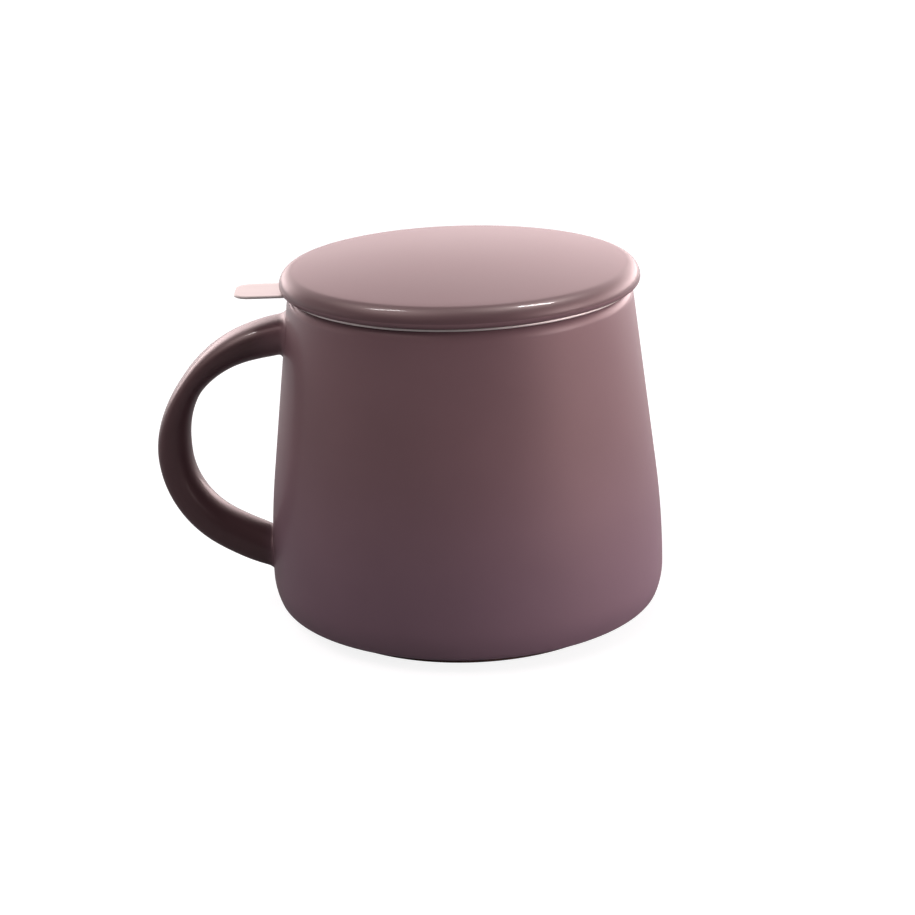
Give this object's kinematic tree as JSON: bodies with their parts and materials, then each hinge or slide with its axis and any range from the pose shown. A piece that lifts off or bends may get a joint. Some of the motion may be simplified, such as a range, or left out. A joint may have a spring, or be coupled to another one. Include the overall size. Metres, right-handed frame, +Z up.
{
  "type": "lidded tea mug with infuser",
  "caption": "Tapered glazed stoneware tea mug with a loop handle, a shallow domed lift-off lid and a lift-out perforated steel strainer basket with a side tab.",
  "frame": {"origin": "on the mug's axis, on the plane that its foot ring stands on", "axes": "+Z up along the mug's axis, -X towards the handle and the basket's lifting tab"},
  "size_m": [0.1276, 0.1, 0.0915],
  "materials": {
    "mug_glaze": "satin mauve-brown glaze",
    "handle_glaze": "satin mauve-brown glaze",
    "lid_glaze": "satin mauve-brown glaze",
    "collar_steel": "satin stamped stainless steel",
    "sleeve_steel": "perforated stainless sheet",
    "cap_steel": "satin drawn stainless steel",
    "screen_steel": "perforated stainless sheet"
  },
  "bodies": {
    "mug": {"mug_body": "mug_glaze", "mug_handle": "handle_glaze"},
    "infuser": {"infuser_collar": "collar_steel", "infuser_sleeve": "sleeve_steel", "infuser_base_cap": "cap_steel", "infuser_screen": "screen_steel"},
    "lid": {"lid": "lid_glaze"}
  },
  "joints": [
    {"name": "infuser_lift", "type": "slide", "parent": "mug", "child": "infuser", "axis": [0, 0, 1], "range_m": [0, 0.075]},
    {"name": "lid_lift", "type": "slide", "parent": "infuser", "child": "lid", "axis": [0, 0, 1], "range_m": [0, 0.05]}
  ]
}
